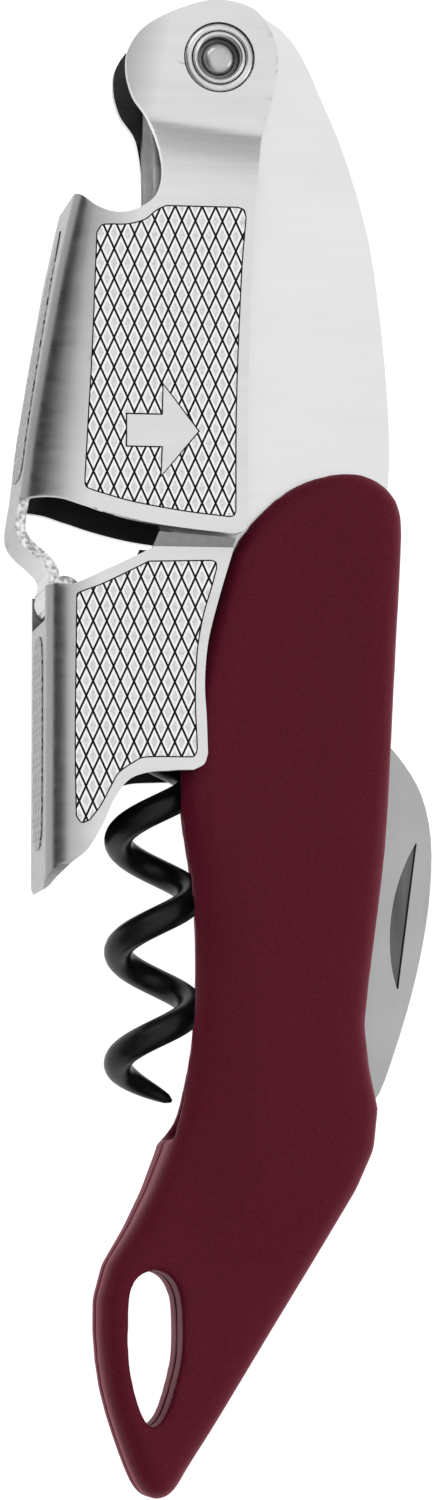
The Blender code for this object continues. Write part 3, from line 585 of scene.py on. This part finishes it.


# The lever steels carry painted shade on their folds.
STEEL_LEVER = brushed_steel("brushed_lever_steel", 0.80, 0.68, 0.30, (0.06, 1, 1),
                            fold=([(45.1, -12.6), (20.0, -17.0)], 5.5))
STEEL_LOWER_LEVER = brushed_steel("brushed_lower_lever_steel", 0.80, 0.68, 0.30, (0.06, 1, 1),
                                  fold=([(12.9, -14.9), (-12.0, -14.9)], 4.2))
STEEL_PLATE = brushed_steel("brushed_frame_steel", 0.88, 0.79, 0.34, (0.05, 1, 1),
                            (0, 0, -PLATE_BRUSH_ANGLE))
STEEL_BLADE = brushed_steel("ground_blade_steel", 0.50, 0.41, 0.34, (1, 0.06, 1), strength=0.2)
# Painted shade in the blade's nail nick.
STEEL_NICK_PAINTED_SHADE = brushed_steel("nail_nick_painted_shade_steel", 0.20, 0.07, 0.36, (1, 0.05, 1))
STEEL_BUTTON = brushed_steel("pressed_rivet_steel", 0.62, 0.42, 0.24, (1, 1, 1), strength=0.05)
STEEL_TURNED = brushed_steel("turned_steel", 0.80, 0.62, 0.25, (1, 1, 1), strength=0.05)
# Painted shade: the inner sides of the lever sheets and the left edges of the frame plates.
STEEL_PAINTED_SHADE = brushed_steel("painted_shade_steel", 0.075, 0.045, 0.42, (0.06, 1, 1))
# Painted shadow in the gaps round the knurled panels.
STEEL_GROOVE_PAINTED_SHADOW = brushed_steel("groove_painted_shadow_steel", 0.06, 0.03, 0.6, (1, 1, 1))
# Painted shade in the rivet's recess and on the floor of the ledge under the upper lever.
STEEL_RECESS_PAINTED_SHADE = brushed_steel("recess_painted_shade_steel", 0.34, 0.22, 0.4, (1, 1, 1))
STEEL_EDGE = sheared_edge("sheared_edge_steel")
KNURL = knurled_steel("knurled_panel_steel", 0.97, 0.80)
# Painted shade: a darker copy of the knurled steel for the spine strips.
SPINE_KNURL_PAINTED_SHADE = knurled_steel("knurled_spine_steel_painted_shade", 0.44, 0.34)
HANDLE_COATING = soft_touch("burgundy_soft_touch_coating")
WORM_COATING = black_coating("black_worm_coating")


# ---------------------------------------------------------------- levers
def fold_sheet(name, surface, top, bottom, spine, half_at, fold_at, right, rows):
    """A flat grid bent into the lever's channel: web, two folds and two side plates."""
    columns = 64
    flat_share, fold_share = 0.2, 0.6   # of the grid's half width, where the flat web and the fold end
    bpy.ops.mesh.primitive_grid_add(x_subdivisions=columns, y_subdivisions=rows, size=2)
    obj = bpy.context.object
    obj.name = name
    for vertex in obj.data.vertices:
        y = bottom + (top - bottom) * (vertex.co.y + 1) / 2
        side = abs(vertex.co.x)
        sign = 1 if vertex.co.x > 0 else -1
        web = at_height(spine, y)
        fold_x, fold_z = fold_at(y)
        half = half_at(web, y)
        if side < flat_share:
            x, z = web, (half - fold_z) * side / flat_share
        elif side < fold_share:
            t = math.pi / 2 * (side - flat_share) / (fold_share - flat_share)
            x = web + fold_x * (1 - math.cos(t))
            z = half - fold_z * (1 - math.sin(t))
        else:
            x = web + fold_x + (right - web - fold_x) * (side - fold_share) / (1 - fold_share)
            z = half_at(x, y)
        vertex.co = at(x, y, sign * z)
    obj.data.materials.append(surface)
    # the sheet's inner side takes painted shade
    obj.data.materials.append(STEEL_PAINTED_SHADE)
    return apply_modifier(obj, "SOLIDIFY", thickness=SHEET * MM, offset=-1, use_even_offset=True,
                          material_offset=1)


def upper_half(x, y):
    """Half width of the upper lever: a crisp step-in to the ears, softened at its foot."""
    start = 51.3 - 0.126 * (x + 1.5)
    t = min(1.0, max(0.0, (start - y) / 5.0))
    return EAR_OUT + (HALF_WIDTH - EAR_OUT) * (1 - (1 - t) ** 1.7)


def upper_fold(y):
    """Width and depth of the upper lever's folds, which grow towards its foot."""
    t = min(1.0, max(0.0, (44.0 - y) / 23.0))
    return 2.0 + 2.8 * t, 2.0 + 0.7 * t


def strip_outline(line, half):
    """The two sides of a bent strip, from its centre line."""
    sides = ([], [])
    for before, here, after in zip(line[:1] + line[:-1], line, line[1:] + line[-1:]):
        along = (after - before).normalized()
        across = Vector((along.y, -along.x)) * half
        sides[0].append(here + across)
        sides[1].append(here - across)
    return sides[0] + sides[1][::-1]


def edge_faces(obj, surface, test):
    """Give the faces that pass a test their own surface."""
    obj.data.materials.append(surface)
    for face in obj.data.polygons:
        if test(face):
            face.material_index = len(obj.data.materials) - 1


def shade_pockets(lever, panel):
    """Paint shadow into the narrow gaps round the knurled panels."""
    margin, floor_slack, rim_slack = 0.2, 0.06, 0.02
    floor = (HALF_WIDTH - KNURL_DEPTH - floor_slack) * MM
    rim = (HALF_WIDTH - rim_slack) * MM
    low = at(min(p.x for p in panel) - margin, min(p.y for p in panel) - margin)
    high = at(max(p.x for p in panel) + margin, max(p.y for p in panel) + margin)

    def in_pocket(face):
        sloped = 0.2 < abs(face.normal.z) < 0.99
        return (low.x < face.center.x < high.x and low.y < face.center.y < high.y
                and floor < abs(face.center.z - DRAWING_ORIGIN.z) < rim and not sloped)

    edge_faces(lever, STEEL_GROOVE_PAINTED_SHADOW, in_pocket)


def pocket(obj, points):
    """Sink the panels' beds into both side plates."""
    floor = HALF_WIDTH - KNURL_DEPTH - BED_CLEARANCE
    for low, high in ((floor, THROUGH), (-THROUGH, -floor)):
        join_cut(obj, plate("panel_bed", grown(points, BORDER_GAP), low, high))


def build_upper_lever():
    lever = fold_sheet("upper_lever_sheet", STEEL_LEVER, 63.5, 16.0, UPPER_SPINE, upper_half,
                       upper_fold, 6.5, 110)
    join_cut(lever, plate("upper_side", outline(EAR_AND_PLATE, 8), -THROUGH, THROUGH), "INTERSECT")
    tongue = plate("tongue", strip_outline(spline(TONGUE, 8), TONGUE_SHEET_HALF),
                   -TONGUE_HALF, TONGUE_HALF)
    join_cut(lever, tongue, "UNION")
    knuckle = barrel("knuckle", HINGE, KNUCKLE_R, 0.01 - TONGUE_HALF, TONGUE_HALF - 0.01)
    join_cut(lever, knuckle, "UNION")
    join_cut(lever, barrel("ear_hole", RIVET, EAR_HOLE_R, -THROUGH, THROUGH, 96))
    join_cut(lever, barrel("knuckle_hole", HINGE, KNUCKLE_HOLE_R, -THROUGH, THROUGH, 32))
    pocket(lever, outline(UPPER_PANEL))
    round_edges(lever, 0.1)
    shade(lever)
    finish_piece(lever, STEEL_LEVER, "upper_lever", "knurled_steel", "upper_lever")
    shade_pockets(lever, outline(UPPER_PANEL))
    corner = at(-12.8, 20.6)
    inner, outer = (TONGUE_HALF - 0.3) * MM, (TONGUE_HALF + 0.1) * MM

    def on_tongue_edge(face):
        return (face.center.x < corner.x and face.center.y < corner.y and abs(face.normal.z) > 0.6
                and inner < abs(face.center.z - DRAWING_ORIGIN.z) < outer)

    edge_faces(lever, STEEL_EDGE, on_tongue_edge)


def foot_corner(sign):
    """Cutter that rounds one corner of the lower lever's foot, seen along X.

    It is drawn flat and then turned, so that the plate's height runs along X.
    """
    wide, foot_top, foot_tip, steps = 7.4, -8.5, -12.4, 12
    left, right = -19.0, -9.0
    rim = [Vector((wide, foot_top)), Vector((wide, foot_tip - 1)), Vector((0, foot_tip - 1))]
    for step in range(steps):
        angle = math.pi / 2 * step / steps
        rim.append(Vector((wide * math.sin(angle), foot_top + (foot_tip - foot_top) * math.cos(angle))))
    cutter = plate("foot_corner", rim, left, right)
    for vertex in cutter.data.vertices:
        across, along, height = (vertex.co - DRAWING_ORIGIN) / MM
        vertex.co = at(height, along, sign * across)
    face_outward(cutter)
    return cutter


def build_lower_lever():
    lever = fold_sheet("lower_lever_sheet", STEEL_LOWER_LEVER, 19.0, -13.5, LOWER_SPINE,
                       lambda x, y: HALF_WIDTH, lambda y: (2.0, 2.0), 3.0, 70)
    join_cut(lever, plate("lower_side", outline(LOWER_SIDE, 8), -THROUGH, THROUGH), "INTERSECT")
    join_cut(lever, block("knuckle_notch", *KNUCKLE_NOTCH))
    for sign in (-1, 1):
        low, high = sorted((sign * STOP_LEDGE_FLOOR, sign * THROUGH))
        join_cut(lever, block("stop_ledge", (*STOP_LEDGE, low), (3, 19, high)))
        join_cut(lever, foot_corner(sign))
    pocket(lever, outline(LOWER_PANEL))
    round_edges(lever, 0.1)
    shade(lever)
    finish_piece(lever, STEEL_LOWER_LEVER, "lower_lever", "knurled_steel", "lower_lever")
    ledge, slack = at(*STOP_LEDGE).y + 0.05 * MM, 0.1 * MM

    def on_stop_ledge(face):
        height = abs(face.center.z - DRAWING_ORIGIN.z)
        return (face.center.y > ledge and abs(face.normal.z) > 0.9
                and abs(height - STOP_LEDGE_FLOOR * MM) < slack)

    # painted shade on the ledge's floor
    edge_faces(lever, STEEL_RECESS_PAINTED_SHADE, on_stop_ledge)
    shade_pockets(lever, outline(LOWER_PANEL))


# ---------------------------------------------------------------- knurling
def groove_cutters(low, high, lean):
    """Parallel V cutters that cover a rectangle at height 0, all leaning one way."""
    angle = math.radians(lean)
    reach = (Vector(high) - Vector(low)).length
    middle = (Vector(high) + Vector(low)) / 2
    across = Vector((math.cos(angle), math.sin(angle)))
    first = math.floor((middle.dot(across) - reach / 2) / KNURL_PITCH)
    last = math.ceil((middle.dot(across) + reach / 2) / KNURL_PITCH)
    bpy.ops.mesh.primitive_cylinder_add(vertices=3, radius=1, depth=1)
    wedge = bpy.context.object
    half = GROOVE_WIDTH / 2
    length = reach + 4
    corners = [(half * 1.6, 0.06), (-half * 1.6, 0.06), (0, -KNURL_DEPTH * 0.9)]
    ends = sorted(wedge.data.vertices, key=lambda v: v.co.z)
    for group, end in ((ends[:3], -0.5), (ends[3:], 0.5)):
        in_turn = sorted(group, key=lambda v: math.atan2(v.co.y, v.co.x))
        for vertex, (side, height) in zip(in_turn, corners):
            vertex.co = Vector((side, end * length, height)) * MM
    face_outward(wedge)
    along = Vector((-across.y, across.x))
    copies = []
    for index in range(first, last + 1):
        twin = wedge.copy()
        twin.data = wedge.data.copy()
        bpy.context.scene.collection.objects.link(twin)
        foot = across * index * KNURL_PITCH + along * middle.dot(along)
        turn = Matrix.Rotation(angle, 4, "Z")
        twin.data.transform(Matrix.Translation((foot.x * MM, foot.y * MM, 0)) @ turn)
        copies.append(twin)
    bpy.data.objects.remove(wedge, do_unlink=True)
    only(*copies)
    bpy.ops.object.join()
    return bpy.context.object


def knurl_blank(name, points, holes=()):
    """Knurled plate drawn flat: its top face is at height 0 and its UV map is in millimetres."""
    obj = plate(name, points, -KNURL_DEPTH, 0, holes)
    obj.data.transform(Matrix.Translation(-DRAWING_ORIGIN))
    low = (min(p.x for p in points), min(p.y for p in points))
    high = (max(p.x for p in points), max(p.y for p in points))
    for lean in (KNURL_LEAN, -KNURL_LEAN):
        join_cut(obj, groove_cutters(low, high, lean))
    chart = obj.data.uv_layers.get("UVMap") or obj.data.uv_layers.new(name="UVMap")
    for loop, coordinate in zip(obj.data.loops, chart.data):
        place = obj.data.vertices[loop.vertex_index].co / MM
        coordinate.uv = (place.x, place.y)
    return obj


def side_panels(name, points, body, holes=()):
    """A knurled panel on the front side plate and its twin at the back."""
    front = knurl_blank(name + "_front", points, holes)
    front.data.transform(Matrix.Translation(at(0, 0, HALF_WIDTH)))
    shade(front, 20)
    for panel in (front, mirrored(front, name + "_rear")):
        finish_piece(panel, KNURL, body, "knurled_steel")


def bend_onto_spine(obj, spine):
    """From a strip drawn flat, as (across, along, height), to its place on the spine."""
    for vertex in obj.data.vertices:
        across, along, height = vertex.co / MM
        vertex.co = at(at_height(spine, along) - height, along, across)
    face_outward(obj)


def spine_strip(name, strip, spine, body):
    """A narrow knurled strip that stands a hair proud of a lever's web."""
    obj = knurl_blank(name, outline(strip))
    obj.data.transform(Matrix.Translation((0, 0, STRIP_PROUD * MM)))
    bend_onto_spine(obj, spine)
    shade(obj, 20)
    # the strip takes the knurled steel with painted shade
    finish_piece(obj, SPINE_KNURL_PAINTED_SHADE, body, "knurled_steel")


def build_knurling():
    arrow = [Vector(p) for p in ARROW]
    side_panels("upper_knurl", outline(UPPER_PANEL), "upper_lever", [grown(arrow, BORDER_GAP)])
    side_panels("lower_knurl", outline(LOWER_PANEL), "lower_lever")
    front = plate("arrow_front", arrow, HALF_WIDTH - KNURL_DEPTH, HALF_WIDTH)
    round_edges(front, 0.03)
    for piece in (front, mirrored(front, "arrow_rear")):
        finish_piece(piece, STEEL_LEVER, "upper_lever", "knurled_steel")
    spine_strip("upper_spine_knurl", UPPER_STRIP, UPPER_SPINE, "upper_lever")
    spine_strip("lower_spine_knurl", LOWER_STRIP, LOWER_SPINE, "lower_lever")


# ---------------------------------------------------------------- handle
def build_handle():
    for side in ("front", "rear"):
        scale = merged_copy(side + "_scale", side + "_handle_scale")
        apply_modifier(scale, "REMESH", mode="VOXEL", voxel_size=0.30 * MM)
        apply_modifier(scale, "SMOOTH", factor=0.5, iterations=9)
        only(scale)
        bpy.ops.object.shade_smooth()
        finish_piece(scale, HANDLE_COATING, "base", "burgundy_soft_touch", side + "_scale")


# ---------------------------------------------------------------- frame and small metal
def build_frame():
    for side in ("front", "rear"):
        liner = merged_copy(side + "_liner", side + "_frame_plate")
        round_edges(liner, 0.12)
        shade(liner)
        apply_modifier(liner, "WEIGHTED_NORMAL", keep_sharp=True)
        finish_piece(liner, STEEL_PLATE, "base", "brushed_steel", side + "_liner")
        # painted shade on the plates' left edges
        edge_faces(liner, STEEL_PAINTED_SHADE, lambda face: abs(face.normal.z) < 0.9
                   and face.normal.x < -0.2)
    blade = merged_copy("knife_blade", "foil_blade")
    round_edges(blade, 0.08)
    shade(blade)
    apply_modifier(blade, "WEIGHTED_NORMAL", keep_sharp=True)
    finish_piece(blade, STEEL_BLADE, "knife", "brushed_steel", "knife_blade")
    nick_low = DRAWING_ORIGIN.z + (NICK_FLOOR - 0.05) * MM
    nick_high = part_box("knife_blade")[1].z - 0.09 * MM
    # painted shade in the nail nick
    edge_faces(blade, STEEL_NICK_PAINTED_SHADE, lambda face: nick_low < face.center.z < nick_high)


def build_rivet():
    button = turned("rivet_button", RIVET, [
        (0, 4.74), (0.3, 4.73), (0.55, 4.78), (0.8, 4.76), (1.05, 4.66), (1.25, 4.5), (1.38, 4.28),
        (1.42, 4.06), (1.68, 4.0), (1.68, -4.0), (1.42, -4.06), (1.38, -4.28), (1.25, -4.5),
        (1.05, -4.66), (0.8, -4.76), (0.55, -4.78), (0.3, -4.73), (0, -4.74)])
    tube = turned("rivet_tube", RIVET, [
        (1.75, 4.7), (1.9, 4.9), (2.05, 4.95), (2.15, 4.9), (2.2, 4.78), (2.2, -4.78),
        (2.15, -4.9), (2.05, -4.95), (1.9, -4.9), (1.75, -4.7)])
    bush = turned("rivet_collar_front", RIVET, [
        (2.28, 4.8), (2.36, 4.9), (2.5, 4.92), (2.75, 4.86), (2.85, 4.76), (2.89, 4.6),
        (2.89, 4.0), (2.28, 4.0)])
    rear = mirrored(bush, "rivet_collar_rear")
    for piece in (button, tube, bush, rear):
        shade(piece, 50)
    finish_piece(button, STEEL_BUTTON, "base", "brushed_steel", "head_rivet")
    # painted shade on the button's sides, down in the tube
    edge_faces(button, STEEL_RECESS_PAINTED_SHADE, lambda face: abs(face.center.z - DRAWING_ORIGIN.z) < 4.2 * MM)
    finish_piece(tube, STEEL_TURNED, "base", "brushed_steel", "head_tube")
    rivet_centre = at(*RIVET)
    # painted shade on the tube's inner faces
    edge_faces(tube, STEEL_RECESS_PAINTED_SHADE, lambda face: (face.center - rivet_centre).xy.length < 1.8 * MM)
    finish_piece(bush, STEEL_TURNED, "upper_lever", "shaded_steel", "ear_bush_front")
    finish_piece(rear, STEEL_TURNED, "upper_lever", "shaded_steel", "ear_bush_rear")


def build_hidden_metal():
    """Carried-over pieces keep their shape and take the turned or brushed finish."""
    turned_pieces = ("head_spacer", "lever_hinge_pin", "worm_pin", "worm_washer_front",
                     "worm_washer_rear", "knife_pin", "knife_washer_front", "knife_washer_rear",
                     "spring_pin_upper", "spring_pin_lower", "frame_pin_upper", "frame_pin_middle",
                     "frame_pin_lower")
    for name in (*turned_pieces, "back_spring", "tail_spacer"):
        node = frame["nodes"][name]
        node.data.materials.clear()
        node.data.materials.append(STEEL_TURNED if name in turned_pieces else STEEL_PLATE)


# ---------------------------------------------------------------- worm
def build_worm():
    turns = (WORM_TOP - WORM_TIP) / WORM_PITCH
    per_turn = 48
    count = round(turns * per_turn)
    points = [(WORM_PIVOT[0], WORM_PIVOT[1] - 1.6, 0.0, 1.0),
              (WORM_PIVOT[0] - 0.1, WORM_TOP + 1.2, 0.0, 1.0)]
    for step in range(count + 1):
        y = WORM_TOP + (WORM_TIP - WORM_TOP) * step / count
        angle = math.pi - 2 * math.pi * (y - WORM_LEFT_Y) / WORM_PITCH
        spread = WORM_RADIUS * ease((step + 2) / (WORM_SHANK_TURNS * per_turn))
        left = (count - step) / (WORM_POINT_TURNS * per_turn)
        thickness = WORM_POINT_SHARE + (1 - WORM_POINT_SHARE) * math.sqrt(min(1.0, left))
        points.append((WORM_AXIS_X + spread * math.cos(angle), y, spread * math.sin(angle), thickness))
    curve = bpy.data.curves.new("worm_spiral", "CURVE")
    curve.dimensions = "3D"
    curve.bevel_depth = WORM_WIRE_R * MM
    curve.bevel_resolution = 8
    curve.use_fill_caps = True
    path = curve.splines.new("POLY")
    path.points.add(len(points) - 1)
    for knot, (x, y, z, thickness) in zip(path.points, points):
        knot.co = (*at(x, y, z), 1)
        knot.radius = thickness
    worm = bpy.data.objects.new("worm_spiral", curve)
    bpy.context.scene.collection.objects.link(worm)
    only(worm)
    bpy.ops.object.convert(target="MESH")
    worm = bpy.context.object
    weld(worm, 1e-6)
    hub = barrel("worm_hub", WORM_PIVOT, 2.9, -2.0, 2.0, 64)
    round_edges(hub, 0.3, 3)
    join_cut(worm, hub, "UNION")
    join_cut(worm, barrel("worm_hole", WORM_PIVOT, 1.08, -5, 5, 48))
    shade(worm, 45)
    finish_piece(worm, WORM_COATING, "worm", "black_coating", "worm")


# ---------------------------------------------------------------- stage, light and camera
CAMERA_SWING = 8.2           # degrees to the left of straight on
CAMERA_DROP = 5.0            # degrees towards the tail
CAMERA_DISTANCE = 0.48
CAMERA_LENS = 92.7
SENSOR_HEIGHT = 24.0


def build_camera():
    swing, drop = math.radians(CAMERA_SWING), math.radians(CAMERA_DROP)
    back = Vector((-math.sin(swing) * math.cos(drop), -math.sin(drop), math.cos(swing) * math.cos(drop)))
    right = Vector((math.cos(swing), 0, math.sin(swing)))
    up = back.cross(right)
    data = bpy.data.cameras.new("camera")
    data.sensor_fit = "VERTICAL"
    data.sensor_height = SENSOR_HEIGHT
    data.lens = CAMERA_LENS
    data.clip_start = 0.01
    camera = bpy.data.objects.new("camera", data)
    bpy.context.scene.collection.objects.link(camera)
    turn = Matrix((right, up, back)).transposed().to_4x4()
    camera.matrix_world = Matrix.Translation(at(0, 0) + back * CAMERA_DISTANCE) @ turn
    bpy.context.scene.camera = camera


def area_light(name, place, size, power):
    """Rectangular soft box that shines at the origin."""
    data = bpy.data.lights.new(name, "AREA")
    data.shape = "RECTANGLE"
    data.size, data.size_y = size
    data.energy = power
    light = bpy.data.objects.new(name, data)
    light.location = place
    light.rotation_euler = (-Vector(place)).to_track_quat("-Z", "Y").to_euler()
    bpy.context.scene.collection.objects.link(light)


def build_studio_light():
    """White overhead tent, a dark gap on the levers' side and a softer far side."""
    world = bpy.data.worlds.new("studio")
    bpy.context.scene.world = world
    world.use_nodes = True
    nodes, links = world.node_tree.nodes, world.node_tree.links
    place = nodes.new("ShaderNodeTexCoord")
    split = nodes.new("ShaderNodeSeparateXYZ")
    links.new(place.outputs["Generated"], split.inputs[0])
    height = ramp(nodes, links, split.outputs["Z"],
                  [(0.0, 0.35), (0.3, 0.5), (0.7, 0.85), (1.0, 1.0)])
    swing = nodes.new("ShaderNodeMath")
    swing.operation = "ARCTAN2"
    links.new(split.outputs["X"], swing.inputs[0])
    links.new(split.outputs["Z"], swing.inputs[1])
    turn = nodes.new("ShaderNodeMath")
    turn.operation = "MULTIPLY_ADD"
    turn.inputs[1].default_value = 1 / math.pi
    turn.inputs[2].default_value = 0.5
    links.new(swing.outputs[0], turn.inputs[0])
    side = ramp(nodes, links, turn.outputs[0],
                [(0.0, 0.22), (0.15, 0.20), (0.28, 0.26), (0.36, 0.5), (0.46, 1.0)])
    both = nodes.new("ShaderNodeMix")
    both.data_type = "RGBA"
    both.blend_type = "MULTIPLY"
    both.inputs["Factor"].default_value = 1.0
    links.new(height, both.inputs["A"])
    links.new(side, both.inputs["B"])
    links.new(both.outputs["Result"], nodes["Background"].inputs["Color"])
    nodes["Background"].inputs["Strength"].default_value = 1.0


def build_stage():
    bpy.ops.mesh.primitive_plane_add(size=3)
    floor = bpy.context.object
    floor.name = "pale_floor"
    made, _, _, shader = new_material("pale_floor_paint")
    shader.inputs["Base Color"].default_value = (0.3, 0.3, 0.3, 1)
    shader.inputs["Roughness"].default_value = 0.95
    shader.inputs["Specular IOR Level"].default_value = 0.0
    shader.inputs["Emission Color"].default_value = (1, 1, 1, 1)
    shader.inputs["Emission Strength"].default_value = 1.0
    floor.data.materials.append(made)
    build_studio_light()
    area_light("key_softbox", (-0.35, 0.55, 0.6), (0.5, 0.4), 0.8)
    area_light("side_softbox", (0.7, -0.1, 0.3), (0.3, 0.6), 0.6)


build_handle()
build_frame()
build_upper_lever()
build_lower_lever()
build_knurling()
build_rivet()
build_worm()
build_hidden_metal()
build_stage()
build_camera()
bpy.context.scene.view_settings.view_transform = "Standard"
